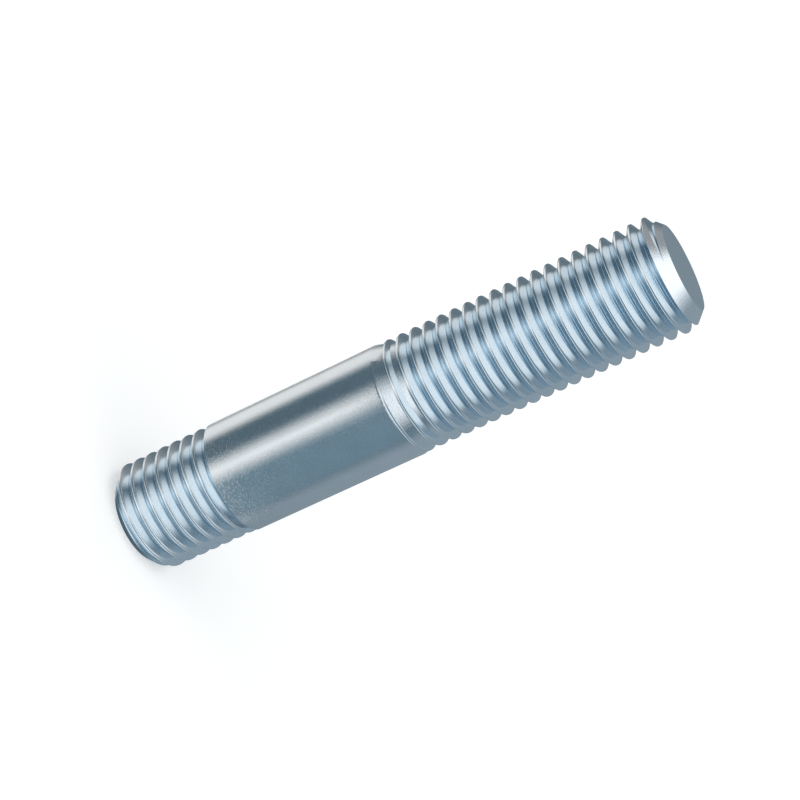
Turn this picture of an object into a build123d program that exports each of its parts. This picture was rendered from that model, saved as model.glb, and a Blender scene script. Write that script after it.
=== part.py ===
from build123d import *
import os
from math import ceil, cos, radians, sin, tan

# A double-ended stud bolt, M16 x 2, made from one bar: a short tap end that is screwed into a
# casting, a plain shank, and a long nut end. The origin is the middle of the tap end's face, and +Z
# runs along the axis towards the nut end. All sizes are in millimetres.

# Lengths along the axis, from the tap end up
tap_thread_length = 16.0
shank_length = 26.0
run_out_length = 4.0
nut_thread_length = 38.0

# The thread's nominal diameter is the shank's diameter too
nominal_diameter = 16.0
end_face_diameter = 12.0
end_chamfer_angle = 45.0

# The thread's form, right-handed at both ends
pitch = 2.0
thread_angle = 60.0
# How far the crests and the flanks lie under the nominal form, on the diameter
crest_allowance = 0.18
flank_allowance = 0.12

# Where a crest crosses the plane of its end face, in degrees round from +X
tap_thread_start = 208.0
nut_thread_start = 183.0

# Flats that each half turn of thread is drawn with, which keep the model light
flats_in_half_turn = 12

# How deep the threads and the core lie in each other, so that they join as one piece
core_overlap = 0.6
# How far the outer shape that cuts the end chamfers stands clear of the shank
clear_of_shank = 1.0

shoulder = tap_thread_length
shank_end = shoulder + shank_length
overall_length = shank_end + run_out_length + nut_thread_length

# A standard thread is cut from a sharp triangle, whose height sets all of its depths
flank_slope = tan(radians(thread_angle / 2))
sharp_height = pitch / (2 * flank_slope)
shank_radius = nominal_diameter / 2
crest_radius = (nominal_diameter - crest_allowance) / 2
pitch_radius = (nominal_diameter - flank_allowance) / 2 - sharp_height * 3 / 8
root_radius = shank_radius - sharp_height * 17 / 24
end_face_radius = end_face_diameter / 2
core_radius = root_radius - core_overlap


def ridge_width(radius):
    # The ridge is half a pitch wide at the pitch radius
    return pitch / 2 - 2 * (radius - pitch_radius) * flank_slope


def half_turn(start_angle, first_crest, crests):
    # One side of a threaded bar: its section is turned through 180 degrees and climbs half a pitch
    inner_radius = core_radius - core_overlap
    crest_half = ridge_width(crest_radius) / 2
    root_half = ridge_width(root_radius) / 2
    low = first_crest - pitch / 2
    high = low + crests * pitch
    outline = [(inner_radius, low)]
    for turn in range(crests):
        middle = first_crest + turn * pitch
        outline += [
            (root_radius, middle - root_half),
            (crest_radius, middle - crest_half),
            (crest_radius, middle + crest_half),
            (root_radius, middle + root_half),
        ]
    outline += [(inner_radius, high)]
    with BuildPart() as side:
        for flat in range(flats_in_half_turn + 1):
            share = flat / flats_in_half_turn
            angle = radians(start_angle + 180 * share)
            section_plane = Plane(
                origin=(0, 0, pitch / 2 * share),
                x_dir=(cos(angle), sin(angle), 0),
                z_dir=(sin(angle), -cos(angle), 0),
            )
            with BuildSketch(section_plane):
                with BuildLine():
                    Polyline(*outline, close=True)
                make_face()
        loft(ruled=True)
    return side.part


# Two more crests than the length holds, so that each thread starts inside the shank at every angle
# and runs out past its end
tap_crests = ceil(tap_thread_length / pitch) + 2
nut_crests = ceil((run_out_length + nut_thread_length) / pitch) + 2
tap_side = half_turn(tap_thread_start, -pitch, tap_crests)
nut_side = half_turn(nut_thread_start, overall_length - (nut_crests - 1) * pitch, nut_crests)

with BuildPart() as stud:
    # The core and the shank, with a square shoulder at the tap end and the run-out cone at the nut end
    cone_length = run_out_length * (shank_radius - core_radius) / (shank_radius - root_radius)
    with BuildSketch(Plane.XZ):
        with BuildLine():
            Polyline(
                (0, 0),
                (core_radius, 0),
                (core_radius, shoulder),
                (shank_radius, shoulder),
                (shank_radius, shank_end),
                (core_radius, shank_end + cone_length),
                (core_radius, overall_length),
                (0, overall_length),
                close=True,
            )
        make_face()
    revolve(axis=Axis.Z)

    # Each thread is two half turns, the second one turned round and raised by half a pitch
    for side in (tap_side, nut_side):
        add(side)
        with Locations(Location((0, 0, pitch / 2), (0, 0, 180))):
            add(side)

    # What lies outside the two end chamfers is cut away
    outer_radius = shank_radius + clear_of_shank
    chamfer_length = (outer_radius - end_face_radius) * tan(radians(end_chamfer_angle))
    with BuildSketch(Plane.XZ):
        with BuildLine():
            Polyline(
                (0, 0),
                (end_face_radius, 0),
                (outer_radius, chamfer_length),
                (outer_radius, overall_length - chamfer_length),
                (end_face_radius, overall_length),
                (0, overall_length),
                close=True,
            )
        make_face()
    revolve(axis=Axis.Z, mode=Mode.INTERSECT)

stud.part.label = "stud"
os.makedirs("parts", exist_ok=True)
export_step(stud.part, "parts/stud.step")
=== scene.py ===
from math import pi, radians

import bpy
from mathutils import Matrix, Vector


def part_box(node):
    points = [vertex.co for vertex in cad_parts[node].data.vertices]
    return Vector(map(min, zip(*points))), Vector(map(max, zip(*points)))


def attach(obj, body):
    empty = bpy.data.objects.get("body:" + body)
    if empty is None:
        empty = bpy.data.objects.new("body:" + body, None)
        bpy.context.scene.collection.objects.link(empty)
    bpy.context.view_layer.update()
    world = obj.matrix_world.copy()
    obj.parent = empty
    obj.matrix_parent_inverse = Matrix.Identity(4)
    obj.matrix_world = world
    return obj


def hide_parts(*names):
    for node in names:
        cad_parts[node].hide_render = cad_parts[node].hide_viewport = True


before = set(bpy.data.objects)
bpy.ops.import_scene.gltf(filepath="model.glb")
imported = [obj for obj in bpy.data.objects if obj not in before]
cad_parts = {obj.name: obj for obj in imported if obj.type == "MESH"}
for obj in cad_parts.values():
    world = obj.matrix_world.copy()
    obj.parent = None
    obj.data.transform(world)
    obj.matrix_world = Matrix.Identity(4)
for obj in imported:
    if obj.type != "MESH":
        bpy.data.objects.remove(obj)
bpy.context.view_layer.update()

# The stud, one bar of steel. Its two threads are rolled, which burnishes them and rounds the edges of their
# crests and roots. The shank, its run-out cone and the chamfered ends are turned. All of it is zinc plated
# and passivated blue-white, which leaves a cold satin gloss over the grain of the pickled steel.
PITCH = 0.002
CREST_DIAMETER = 0.01582
PITCH_DIAMETER = 0.01458
ROOT_DIAMETER = 0.01355
FLANK_ANGLE = 30
CREST_ROUNDING = 0.0001
ROOT_ROUNDING = 0.0001
TAP_THREAD_LENGTH = 0.016
SHANK_LENGTH = 0.026
RUN_OUT_LENGTH = 0.004
END_FACE_DIAMETER = 0.012
TAP_CREST_ANGLE = 208
NUT_CREST_ANGLE = 183
COLUMNS = 96
ROWS_PER_PITCH = 28
ROWS_DRAWN_TO_BENDS = 0.45
BURIED = 0.001
WELD_DISTANCE = 0.000001
SHARP_ANGLE = 30
ROLLED_ZINC = (0.79, 0.88, 0.95, 1)
TURNED_ZINC = (0.78, 0.85, 0.91, 1)
# Painted shade: the tint laid into the valleys of the threads
PAINTED_SHADE_ZINC = (0.52, 0.71, 0.87, 1)
PLATED_ROUGHNESS = 0.15
VALLEY_ROUGHNESS = 0.2
VALLEY_RADII = (0.00679, 0.00689)
# The plating varies in a fine grain and in wide clouds, in how light and how rough it is
GRAIN_SIZE = 0.00026
GRAIN_DETAIL = 2.0
GRAIN_SHADES = (0.96, 1.03)
GRAIN_ROUGHNESSES = (0.9, 1.15)
CLOUD_SIZE = 0.004
CLOUD_DETAIL = 3.0
CLOUD_SHADES = (0.96, 1.02)
CLOUD_ROUGHNESSES = (0.92, 1.08)
NOISE_ROUGHNESS = 0.6
MOST_NOISE = (0.3, 0.7)
# The highest grains stand up as pimples, by these shares of their height on each kind of face
PIMPLE_GRAINS = (0.5, 0.68)
PIMPLE_HEIGHT = 0.000005
ROLLED_PIMPLES = 0.08
TURNED_PIMPLES = 0.68
CUT_END_PIMPLES = 0.78


def wire(tree, source, socket):
    # A socket is linked, and a plain value is set on the input itself
    if isinstance(source, bpy.types.NodeSocket):
        tree.links.new(source, socket)
    else:
        socket.default_value = source


def put(tree, kind, wires=None, **settings):
    # A node, with its settings first because they decide which sockets it has
    made = tree.nodes.new(kind)
    for name, value in settings.items():
        setattr(made, name, value)
    for name, source in (wires or {}).items():
        wire(tree, source, made.inputs[name])
    return made


def work_out(tree, operation, *terms):
    step = put(tree, "ShaderNodeMath", operation=operation)
    for number, term in enumerate(terms):
        wire(tree, term, step.inputs[number])
    return step.outputs[0]


def new_tree(name, inputs):
    tree = bpy.data.node_groups.new(name, "GeometryNodeTree")
    for label, kind in inputs:
        tree.interface.new_socket(label, in_out="INPUT", socket_type=kind)
    tree.interface.new_socket("Geometry", in_out="OUTPUT", socket_type="NodeSocketGeometry")
    return tree, put(tree, "NodeGroupInput").outputs, put(tree, "NodeGroupOutput").inputs


def threaded_bar():
    # A closed bar whose rows of points follow the thread's helix, from one height to another
    tree, size, result = new_tree("threaded_bar", [
        ("Pitch", "NodeSocketFloat"),
        ("Crest Radius", "NodeSocketFloat"),
        ("Pitch Radius", "NodeSocketFloat"),
        ("Root Radius", "NodeSocketFloat"),
        ("Flank Angle", "NodeSocketFloat"),
        ("Crest Rounding", "NodeSocketFloat"),
        ("Root Rounding", "NodeSocketFloat"),
        ("Crest Angle", "NodeSocketFloat"),
        ("Crest Height", "NodeSocketFloat"),
        ("Low End", "NodeSocketFloat"),
        ("High End", "NodeSocketFloat"),
        ("Columns", "NodeSocketInt"),
        ("Rows per Pitch", "NodeSocketInt"),
    ])
    pitch = size["Pitch"]
    # Height of a crest at angle zero, and whole pitches from there down past the low end
    crest_share = work_out(tree, "DIVIDE", size["Crest Angle"], 2 * pi)
    crest_climb = work_out(tree, "MULTIPLY", pitch, crest_share)
    crest_at_zero = work_out(tree, "SUBTRACT", size["Crest Height"], crest_climb)
    pitches_down = work_out(tree, "ADD", 1, work_out(tree, "CEIL", work_out(
        tree, "DIVIDE", work_out(tree, "SUBTRACT", crest_at_zero, size["Low End"]), pitch)))
    start = work_out(tree, "SUBTRACT", crest_at_zero, work_out(tree, "MULTIPLY", pitches_down, pitch))
    pitches = work_out(tree, "ADD", 1, work_out(tree, "CEIL", work_out(
        tree, "DIVIDE", work_out(tree, "SUBTRACT", size["High End"], start), pitch)))
    row_count = work_out(tree, "ADD", 1, work_out(tree, "MULTIPLY", pitches, size["Rows per Pitch"]))
    column_count = work_out(tree, "ADD", 1, size["Columns"])
    sheet = put(tree, "GeometryNodeMeshGrid", {
        "Size X": 1.0, "Size Y": 1.0, "Vertices X": column_count, "Vertices Y": row_count})

    # A point's column gives its angle. Its row gives its height and its distance from the nearest crest
    index = put(tree, "GeometryNodeInputIndex").outputs[0]
    column = work_out(tree, "FLOOR", work_out(tree, "DIVIDE", work_out(tree, "ADD", index, 0.5), row_count))
    row = work_out(tree, "SUBTRACT", index, work_out(tree, "MULTIPLY", column, row_count))
    share = work_out(tree, "DIVIDE", column, size["Columns"])
    even_turns = work_out(tree, "DIVIDE", row, size["Rows per Pitch"])
    # Rows are drawn closer to the crests and roots, where the profile bends
    swing = work_out(tree, "SINE", work_out(tree, "MULTIPLY", even_turns, 4 * pi))
    turns = work_out(tree, "MULTIPLY_ADD", swing, -ROWS_DRAWN_TO_BENDS / (4 * pi), even_turns)
    height = work_out(tree, "MULTIPLY_ADD", work_out(tree, "ADD", turns, share), pitch, start)
    from_crest = work_out(tree, "MULTIPLY", pitch, work_out(tree, "PINGPONG", turns, 0.5))
    from_root = work_out(tree, "SUBTRACT", work_out(tree, "MULTIPLY", pitch, 0.5), from_crest)

    # The straight flanks pass through the pitch radius a quarter of a pitch from the crest's middle
    steepness = work_out(tree, "DIVIDE", 1.0, work_out(tree, "TANGENT", size["Flank Angle"]))
    rise = work_out(tree, "MULTIPLY", work_out(tree, "MULTIPLY", pitch, 0.25), steepness)
    flank = work_out(tree, "SUBTRACT", work_out(tree, "ADD", size["Pitch Radius"], rise),
                     work_out(tree, "MULTIPLY", from_crest, steepness))

    # A crest or root is flat in its middle and bends into the flanks with a given rounding
    half_bend = work_out(tree, "TANGENT", work_out(tree, "MULTIPLY_ADD", size["Flank Angle"], -0.5, pi / 4))

    def land(distance, reach, rounding, side):
        # Side is 1 for a crest and -1 for a root. The corner is where the flat would meet the flank
        depth = work_out(tree, "SUBTRACT", rise, work_out(
            tree, "ABSOLUTE", work_out(tree, "SUBTRACT", reach, size["Pitch Radius"])))
        corner = work_out(tree, "DIVIDE", depth, steepness)
        flat = work_out(tree, "SUBTRACT", corner, work_out(tree, "MULTIPLY", rounding, half_bend))
        past_flat = work_out(tree, "MAXIMUM", work_out(tree, "SUBTRACT", distance, flat), 0.0)
        drop = work_out(tree, "SUBTRACT", work_out(tree, "POWER", rounding, 2.0),
                        work_out(tree, "POWER", past_flat, 2.0))
        arc = work_out(tree, "SQRT", work_out(tree, "MAXIMUM", drop, 0.0))
        curve = work_out(tree, "MULTIPLY_ADD", work_out(tree, "SUBTRACT", arc, rounding), side, reach)
        on_arc = work_out(tree, "LESS_THAN", past_flat, work_out(
            tree, "MULTIPLY", rounding, work_out(tree, "COSINE", size["Flank Angle"])))
        return curve, on_arc

    def chosen(on_land, curve, otherwise):
        apart = work_out(tree, "SUBTRACT", curve, otherwise)
        return work_out(tree, "MULTIPLY_ADD", apart, on_land, otherwise)

    crest_curve, on_crest = land(from_crest, size["Crest Radius"], size["Crest Rounding"], 1.0)
    root_curve, on_root = land(from_root, size["Root Radius"], size["Root Rounding"], -1.0)
    radius = chosen(on_root, root_curve, chosen(on_crest, crest_curve, flank))

    # Points past an end gather on the axis there, which closes the bar
    above_low = work_out(tree, "GREATER_THAN", height, size["Low End"])
    below_high = work_out(tree, "LESS_THAN", height, size["High End"])
    kept_radius = work_out(tree, "MULTIPLY", radius, work_out(tree, "MULTIPLY", above_low, below_high))
    raised = work_out(tree, "MAXIMUM", height, size["Low End"])
    kept_height = work_out(tree, "MINIMUM", size["High End"], raised)
    angle = work_out(tree, "MULTIPLY", share, 2 * pi)
    place = put(tree, "ShaderNodeCombineXYZ", {
        "X": work_out(tree, "MULTIPLY", kept_radius, work_out(tree, "COSINE", angle)),
        "Y": work_out(tree, "MULTIPLY", kept_radius, work_out(tree, "SINE", angle)),
        "Z": kept_height})
    wrapped = put(tree, "GeometryNodeSetPosition", {
        "Geometry": sheet.outputs["Mesh"], "Position": place.outputs[0]})
    welded = put(tree, "GeometryNodeMergeByDistance", {
        "Geometry": wrapped.outputs[0], "Distance": WELD_DISTANCE})
    wire(tree, welded.outputs[0], result["Geometry"])
    return tree


def stud_tree(bar):
    tree, size, result = new_tree("stud_bolt", [
        ("Geometry", "NodeSocketGeometry"),
        ("Length", "NodeSocketFloat"),
        ("Shank Radius", "NodeSocketFloat"),
        ("Shank Start", "NodeSocketFloat"),
        ("Shank End", "NodeSocketFloat"),
        ("Run-out Length", "NodeSocketFloat"),
        ("End Face Radius", "NodeSocketFloat"),
        ("Pitch", "NodeSocketFloat"),
        ("Crest Radius", "NodeSocketFloat"),
        ("Pitch Radius", "NodeSocketFloat"),
        ("Root Radius", "NodeSocketFloat"),
        ("Flank Angle", "NodeSocketFloat"),
        ("Crest Rounding", "NodeSocketFloat"),
        ("Root Rounding", "NodeSocketFloat"),
        ("Tap Crest Angle", "NodeSocketFloat"),
        ("Nut Crest Angle", "NodeSocketFloat"),
        ("Columns", "NodeSocketInt"),
        ("Rows per Pitch", "NodeSocketInt"),
        ("Sharp Angle", "NodeSocketFloat"),
        ("Material", "NodeSocketMaterial"),
    ])

    def thread(crest_angle, crest_height, low_end, high_end):
        return put(tree, "GeometryNodeGroup", {
            "Pitch": size["Pitch"],
            "Crest Radius": size["Crest Radius"],
            "Pitch Radius": size["Pitch Radius"],
            "Root Radius": size["Root Radius"],
            "Flank Angle": size["Flank Angle"],
            "Crest Rounding": size["Crest Rounding"],
            "Root Rounding": size["Root Rounding"],
            "Crest Angle": crest_angle,
            "Crest Height": crest_height,
            "Low End": low_end,
            "High End": high_end,
            "Columns": size["Columns"],
            "Rows per Pitch": size["Rows per Pitch"],
        }, node_tree=bar).outputs["Geometry"]

    def tapered(bottom, top, bottom_radius, top_radius):
        # A round bar between two heights, straight or tapered
        depth = work_out(tree, "SUBTRACT", top, bottom)
        cone = put(tree, "GeometryNodeMeshCone", {
            "Vertices": size["Columns"], "Radius Top": top_radius, "Radius Bottom": bottom_radius,
            "Depth": depth})
        shift = put(tree, "ShaderNodeCombineXYZ", {"Z": bottom})
        return put(tree, "GeometryNodeTransform", {
            "Geometry": cone.outputs["Mesh"], "Translation": shift.outputs[0]}).outputs[0]

    def marked(mesh, mark):
        # Faces keep a mark of how they were made, for the zinc to read
        return put(tree, "GeometryNodeStoreNamedAttribute", {
            "Geometry": mesh, "Name": mark, "Value": 1.0}, data_type="FLOAT", domain="FACE").outputs[0]

    def joined(operation, *meshes):
        meet = put(tree, "GeometryNodeMeshBoolean", operation=operation, solver="MANIFOLD")
        for mesh in meshes:
            tree.links.new(mesh, meet.inputs["Mesh 2"])
        return meet.outputs["Mesh"]

    # Each thread runs past its free end and ends inside the shank
    tap_thread = thread(size["Tap Crest Angle"], 0.0, -BURIED,
                        work_out(tree, "ADD", size["Shank Start"], BURIED))
    nut_thread = thread(size["Nut Crest Angle"], size["Length"],
                        work_out(tree, "SUBTRACT", size["Shank End"], BURIED),
                        work_out(tree, "ADD", size["Length"], BURIED))

    # The shank is turned down to the run-out cone, which goes on inside the thread
    run_out_depth = work_out(tree, "SUBTRACT", size["Shank Radius"], size["Root Radius"])
    run_out_slope = work_out(tree, "DIVIDE", run_out_depth, size["Run-out Length"])
    cone_top = work_out(tree, "MULTIPLY_ADD", size["Run-out Length"], 2, size["Shank End"])
    cone_top_radius = work_out(tree, "SUBTRACT", size["Shank Radius"],
                               work_out(tree, "MULTIPLY", run_out_depth, 2))
    cone_foot_radius = work_out(tree, "MULTIPLY_ADD", size["Shank End"], run_out_slope, size["Shank Radius"])
    shank = marked(joined(
        "INTERSECT",
        tapered(size["Shank Start"], cone_top, size["Shank Radius"], size["Shank Radius"]),
        tapered(0.0, cone_top, cone_foot_radius, cone_top_radius)), "turned")

    # A 45 degree chamfer and a flat face are turned on each end
    wide = work_out(tree, "ADD", size["Length"], size["End Face Radius"])
    tap_end_tool = marked(tapered(0.0, size["Length"], size["End Face Radius"], wide), "cut_end")
    nut_end_tool = marked(tapered(0.0, size["Length"], wide, size["End Face Radius"]), "cut_end")
    whole = joined("UNION", tap_thread, shank, nut_thread)
    turned = joined("INTERSECT", whole, tap_end_tool, nut_end_tool)

    def border(mark):
        # An edge between a marked and an unmarked face reads the mean of the two
        read = put(tree, "GeometryNodeInputNamedAttribute", {"Name": mark}, data_type="FLOAT")
        return work_out(tree, "COMPARE", read.outputs["Attribute"], 0.5, 0.25)

    # Edges stay crisp where the surface bends sharply and where one way of making it ends
    smooth = put(tree, "GeometryNodeSetShadeSmooth", {
        "Geometry": turned, "Shade Smooth": True}, domain="FACE")
    edge_angle = put(tree, "GeometryNodeInputMeshEdgeAngle").outputs["Unsigned Angle"]
    bends = work_out(tree, "GREATER_THAN", edge_angle, size["Sharp Angle"])
    crisp = work_out(tree, "MAXIMUM", bends, work_out(tree, "MAXIMUM", border("turned"), border("cut_end")))
    creased = put(tree, "GeometryNodeSetShadeSmooth", {
        "Geometry": smooth.outputs[0], "Selection": crisp, "Shade Smooth": False}, domain="EDGE")
    real = put(tree, "GeometryNodeRealizeInstances", {"Geometry": creased.outputs[0]})
    finished = put(tree, "GeometryNodeSetMaterial", {
        "Geometry": real.outputs[0], "Material": size["Material"]})
    wire(tree, finished.outputs[0], result["Geometry"])
    return tree


def zinc_plate():
    # Zinc on steel, a little greyer where the steel was turned or cut than where it was rolled
    made = bpy.data.materials.new("zinc_plate")
    made.use_nodes = True
    tree = made.node_tree
    shader = tree.nodes["Principled BSDF"].inputs
    place = put(tree, "ShaderNodeTexCoord").outputs["Object"]

    def noise(size, detail):
        return put(tree, "ShaderNodeTexNoise", {
            "Vector": place, "Scale": 1 / size, "Detail": detail,
            "Roughness": NOISE_ROUGHNESS}).outputs["Fac"]

    def spread(value, reach):
        return put(tree, "ShaderNodeMapRange", {
            "Value": value, "From Min": MOST_NOISE[0], "From Max": MOST_NOISE[1],
            "To Min": reach[0], "To Max": reach[1]}).outputs["Result"]

    turned = put(tree, "ShaderNodeAttribute", attribute_name="turned").outputs["Fac"]
    cut_end = put(tree, "ShaderNodeAttribute", attribute_name="cut_end").outputs["Fac"]
    machined = work_out(tree, "MAXIMUM", turned, cut_end)
    grain = noise(GRAIN_SIZE, GRAIN_DETAIL)
    clouds = noise(CLOUD_SIZE, CLOUD_DETAIL)

    # Painted shade: the valleys of the threads are tinted bluer and darker, and they are also made rougher
    around = put(tree, "ShaderNodeVectorMath", {0: place, 1: (1, 1, 0)}, operation="MULTIPLY").outputs[0]
    radius = put(tree, "ShaderNodeVectorMath", {0: around}, operation="LENGTH").outputs["Value"]
    low_down = put(tree, "ShaderNodeMapRange", {
        "Value": radius, "From Min": VALLEY_RADII[1], "From Max": VALLEY_RADII[0]},
        interpolation_type="SMOOTHSTEP").outputs["Result"]
    valley = work_out(tree, "MULTIPLY", low_down, work_out(tree, "SUBTRACT", 1, machined))

    def mixed(share, first, second):
        mix = put(tree, "ShaderNodeMix", data_type="RGBA")
        wire(tree, share, mix.inputs["Factor"])
        wire(tree, first, mix.inputs[6])
        wire(tree, second, mix.inputs[7])
        return mix.outputs[2]

    # The valleys' bluer, darker tint is painted shade
    tint = mixed(valley, mixed(machined, ROLLED_ZINC, TURNED_ZINC), PAINTED_SHADE_ZINC)
    shade = work_out(tree, "MULTIPLY", spread(clouds, CLOUD_SHADES), spread(grain, GRAIN_SHADES))
    shaded = put(tree, "ShaderNodeVectorMath", {0: tint, 1: shade}, operation="MULTIPLY")
    wire(tree, shaded.outputs[0], shader["Base Color"])

    dull = work_out(tree, "MULTIPLY_ADD", valley, VALLEY_ROUGHNESS - PLATED_ROUGHNESS, PLATED_ROUGHNESS)
    uneven = work_out(tree, "MULTIPLY", spread(grain, GRAIN_ROUGHNESSES), spread(clouds, CLOUD_ROUGHNESSES))
    wire(tree, work_out(tree, "MULTIPLY", dull, uneven), shader["Roughness"])

    # The plating is pimpled with fine dots, which stand out more on machined faces and most on the cut ends
    pimples = put(tree, "ShaderNodeMapRange", {
        "Value": grain, "From Min": PIMPLE_GRAINS[0], "From Max": PIMPLE_GRAINS[1]},
        interpolation_type="SMOOTHSTEP").outputs["Result"]
    bump = put(tree, "ShaderNodeBump", {"Distance": PIMPLE_HEIGHT, "Height": pimples})
    on_turned = work_out(tree, "MULTIPLY_ADD", turned, TURNED_PIMPLES - ROLLED_PIMPLES, ROLLED_PIMPLES)
    wire(tree, work_out(tree, "MULTIPLY_ADD", cut_end, CUT_END_PIMPLES - ROLLED_PIMPLES, on_turned),
         bump.inputs["Strength"])
    wire(tree, bump.outputs["Normal"], shader["Normal"])
    shader["Metallic"].default_value = 1
    return made


stud_low, stud_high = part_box("stud")
stud_length = stud_high[2] - stud_low[2]
shank_end = TAP_THREAD_LENGTH + SHANK_LENGTH
stud_sizes = {
    "Length": stud_length,
    "Shank Radius": (stud_high[0] - stud_low[0]) / 2,
    "Shank Start": TAP_THREAD_LENGTH,
    "Shank End": shank_end,
    "Run-out Length": RUN_OUT_LENGTH,
    "End Face Radius": END_FACE_DIAMETER / 2,
    "Pitch": PITCH,
    "Crest Radius": CREST_DIAMETER / 2,
    "Pitch Radius": PITCH_DIAMETER / 2,
    "Root Radius": ROOT_DIAMETER / 2,
    "Flank Angle": radians(FLANK_ANGLE),
    "Crest Rounding": CREST_ROUNDING,
    "Root Rounding": ROOT_ROUNDING,
    "Tap Crest Angle": radians(TAP_CREST_ANGLE),
    "Nut Crest Angle": radians(NUT_CREST_ANGLE),
    "Columns": COLUMNS,
    "Rows per Pitch": ROWS_PER_PITCH,
    "Sharp Angle": radians(SHARP_ANGLE),
    "Material": zinc_plate(),
}
stud_maker = bpy.data.objects.new("stud_maker", bpy.data.meshes.new("stud_maker"))
bpy.context.scene.collection.objects.link(stud_maker)
shaping = stud_maker.modifiers.new("shaping", "NODES")
shaping.node_group = stud_tree(threaded_bar())
for item in shaping.node_group.interface.items_tree:
    if item.in_out == "INPUT" and item.name in stud_sizes:
        shaping[item.identifier] = stud_sizes[item.name]
stud_mesh = bpy.data.meshes.new_from_object(stud_maker.evaluated_get(bpy.context.evaluated_depsgraph_get()))
stud_maker.modifiers.remove(shaping)
bpy.data.objects.remove(stud_maker)
plated_stud = bpy.data.objects.new("plated_stud", stud_mesh)
bpy.context.scene.collection.objects.link(plated_stud)
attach(plated_stud, "root")
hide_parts("stud")

# The floor, a wide sheet of white card that the stud stands on. The camera sees it a little lighter than
# the room lights it, so that it comes out white, and the shadow of the stud stays.
FLOOR_HALF = 3.0
CARD_WHITE = (0.9, 0.9, 0.9, 1)
CARD_ROUGHNESS = 0.9
LIFT_FOR_CAMERA = 0.36
floor_mesh = bpy.data.meshes.new("floor")
floor_mesh.from_pydata(
    [(-FLOOR_HALF, -FLOOR_HALF, 0), (FLOOR_HALF, -FLOOR_HALF, 0),
     (FLOOR_HALF, FLOOR_HALF, 0), (-FLOOR_HALF, FLOOR_HALF, 0)], [], [(0, 1, 2, 3)])
floor = bpy.data.objects.new("floor", floor_mesh)
bpy.context.scene.collection.objects.link(floor)
floor.visible_glossy = False
card = bpy.data.materials.new("white_card")
card.use_nodes = True
card_tree = card.node_tree
card_shader = card_tree.nodes["Principled BSDF"]
card_shader.inputs["Base Color"].default_value = CARD_WHITE
card_shader.inputs["Roughness"].default_value = CARD_ROUGHNESS
card_shader.inputs["Specular IOR Level"].default_value = 0
card_shader.inputs["Emission Color"].default_value = CARD_WHITE
seen_by_camera = put(card_tree, "ShaderNodeLightPath").outputs["Is Camera Ray"]
wire(card_tree, work_out(card_tree, "MULTIPLY", seen_by_camera, LIFT_FOR_CAMERA),
     card_shader.inputs["Emission Strength"])
floor_mesh.materials.append(card)

# The studio round the stud. Zinc shows mostly what it mirrors, so large soft cards hang all round: white
# ones over it and low in front of it, grey ones level with it, and a narrow white strip among these.
# An upright face mirrors what hangs at twice its own turn and a little below level. The white strip shows
# about 5 to 19 degrees round the shank, so it hangs 11 to 38 degrees round the room. The dark and the grey
# card beside it and the white one low at the right are placed the same way. The nut end's chamfer mirrors
# the ceiling and, at its sides, the two screens. The end face mirrors the far side of the left screen, and
# the front of the run-out cone the front light. What hangs low in front shows off two flanks in turn.
WARM = (1.0, 0.97, 0.93)
NEUTRAL = (1.0, 1.0, 1.0)
COOL = (0.75, 0.9, 1.0)
SLATE = (0.57, 0.84, 1.0)
ROOM_LIGHT = 0.16
# Each card's two sides, as turns from the camera's side, and its bottom and top, as heights, in degrees.
# Then how wide its sides and its ends fade, how bright it is and its tint. Later cards hang in front of
# earlier ones.
STUDIO_CARDS = {
    "ceiling": ((-200, 200), (35, 150), (10, 20), 1.3, NEUTRAL),
    "right_screen": ((90, 150), (-30, 75), (40, 20), 0.35, NEUTRAL),
    "left_screen": ((-185, -80), (-30, 60), (50, 40), 0.38, COOL),
    "front_light": ((-45, 45), (10, 40), (60, 30), 1.3, NEUTRAL),
    "low_front": ((-105, 75), (-65, -25), (85, 5), 1.12, WARM),
    "dark_level": ((0, 100), (-27, 10), (20, 5), 0.18, SLATE),
    "grey_level": ((-80, 10), (-27, 10), (30, 5), 0.3, SLATE),
    "strip": ((11, 38), (-28, 0), (40, 5), 1.13, WARM),
    "low_right": ((98, 142), (-40, 0), (30, 5), 0.9, WARM),
    "edge_strip": ((155, 170), (-40, -15), (5, 5), 1.1, WARM),
}


def soft_card_group():
    # How much of a card shows in one direction, from 0 to 1
    group = bpy.data.node_groups.new("soft_card", "ShaderNodeTree")
    for label in ("Turn", "Height", "Middle Turn", "Middle Height",
                  "Half Width", "Half Height", "Side Softness", "Top Softness"):
        group.interface.new_socket(label, in_out="INPUT", socket_type="NodeSocketFloat")
    group.interface.new_socket("Shown", in_out="OUTPUT", socket_type="NodeSocketFloat")
    given = put(group, "NodeGroupInput").outputs
    result = put(group, "NodeGroupOutput").inputs

    def faded(distance, half, softness):
        fade = put(group, "ShaderNodeMapRange", interpolation_type="SMOOTHSTEP")
        wire(group, distance, fade.inputs["Value"])
        half_softness = work_out(group, "MULTIPLY", softness, 0.5)
        wire(group, work_out(group, "ADD", half, half_softness), fade.inputs["From Min"])
        wire(group, work_out(group, "SUBTRACT", half, half_softness), fade.inputs["From Max"])
        return fade.outputs["Result"]

    turned_away = work_out(group, "SUBTRACT", given["Turn"], given["Middle Turn"])
    apart = work_out(group, "WRAP", turned_away, 180, -180)
    across = faded(work_out(group, "ABSOLUTE", apart), given["Half Width"], given["Side Softness"])
    over = work_out(group, "ABSOLUTE", work_out(group, "SUBTRACT", given["Height"], given["Middle Height"]))
    upward = faded(over, given["Half Height"], given["Top Softness"])
    wire(group, work_out(group, "MULTIPLY", across, upward), result["Shown"])
    return group


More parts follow.
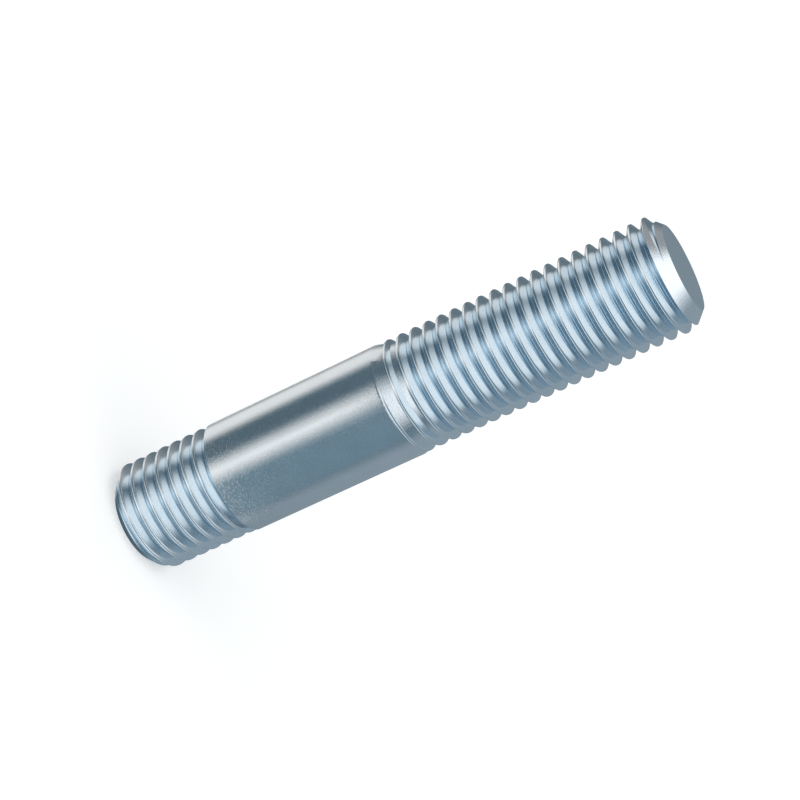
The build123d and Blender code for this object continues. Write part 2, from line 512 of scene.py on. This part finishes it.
studio = bpy.data.worlds.new("studio")
bpy.context.scene.world = studio
studio.use_nodes = True
studio_tree = studio.node_tree
outward = put(studio_tree, "ShaderNodeTexCoord").outputs["Generated"]
direction = put(studio_tree, "ShaderNodeSeparateXYZ", {"Vector": outward}).outputs
turn = work_out(studio_tree, "DEGREES", work_out(
    studio_tree, "ARCTAN2", work_out(studio_tree, "MULTIPLY", direction["X"], -1),
    work_out(studio_tree, "MULTIPLY", direction["Y"], -1)))
height_angle = work_out(studio_tree, "DEGREES", work_out(studio_tree, "ARCSINE", direction["Z"]))
soft_card = soft_card_group()
shown_colour = (*(ROOM_LIGHT * channel for channel in SLATE), 1)
for name, (sides, ends, fades, light, tint) in STUDIO_CARDS.items():
    hung = put(studio_tree, "ShaderNodeGroup", {
        "Turn": turn,
        "Height": height_angle,
        "Middle Turn": sum(sides) / 2,
        "Middle Height": sum(ends) / 2,
        "Half Width": (sides[1] - sides[0]) / 2,
        "Half Height": (ends[1] - ends[0]) / 2,
        "Side Softness": fades[0],
        "Top Softness": fades[1],
    }, node_tree=soft_card, label=name)
    laid = put(studio_tree, "ShaderNodeMix", data_type="RGBA")
    wire(studio_tree, hung.outputs["Shown"], laid.inputs["Factor"])
    wire(studio_tree, shown_colour, laid.inputs[6])
    wire(studio_tree, (*(light * channel for channel in tint), 1), laid.inputs[7])
    shown_colour = laid.outputs[2]
# Past the floor's edge the camera sees plain white, while the zinc goes on mirroring the cards
BACKDROP_WHITE = (1, 1, 1, 1)
backdrop = put(studio_tree, "ShaderNodeMix", data_type="RGBA")
wire(studio_tree, put(studio_tree, "ShaderNodeLightPath").outputs["Is Camera Ray"], backdrop.inputs["Factor"])
wire(studio_tree, shown_colour, backdrop.inputs[6])
wire(studio_tree, BACKDROP_WHITE, backdrop.inputs[7])
wire(studio_tree, backdrop.outputs[2], studio_tree.nodes["Background"].inputs["Color"])

# The camera looks down on the nut end, turned so that the stud lies across the picture as it does in the
# photograph.
CAMERA_DISTANCE = 0.29115
CAMERA_HEIGHT_ANGLE = 17.784
CAMERA_ROLL = 65.01
LENS = 98.06
SENSOR_WIDTH = 36
aim = Vector((0.00008, -0.00002, 0.04201))
camera_data = bpy.data.cameras.new("camera")
camera_data.sensor_width = SENSOR_WIDTH
camera_data.lens = LENS
camera = bpy.data.objects.new("camera", camera_data)
bpy.context.scene.collection.objects.link(camera)
camera.matrix_world = (
    Matrix.Translation(aim)
    @ Matrix.Rotation(radians(90 - CAMERA_HEIGHT_ANGLE), 4, "X")
    @ Matrix.Rotation(radians(CAMERA_ROLL), 4, "Z")
    @ Matrix.Translation((0, 0, CAMERA_DISTANCE)))
bpy.context.scene.camera = camera

bpy.context.scene.view_settings.view_transform = "Standard"
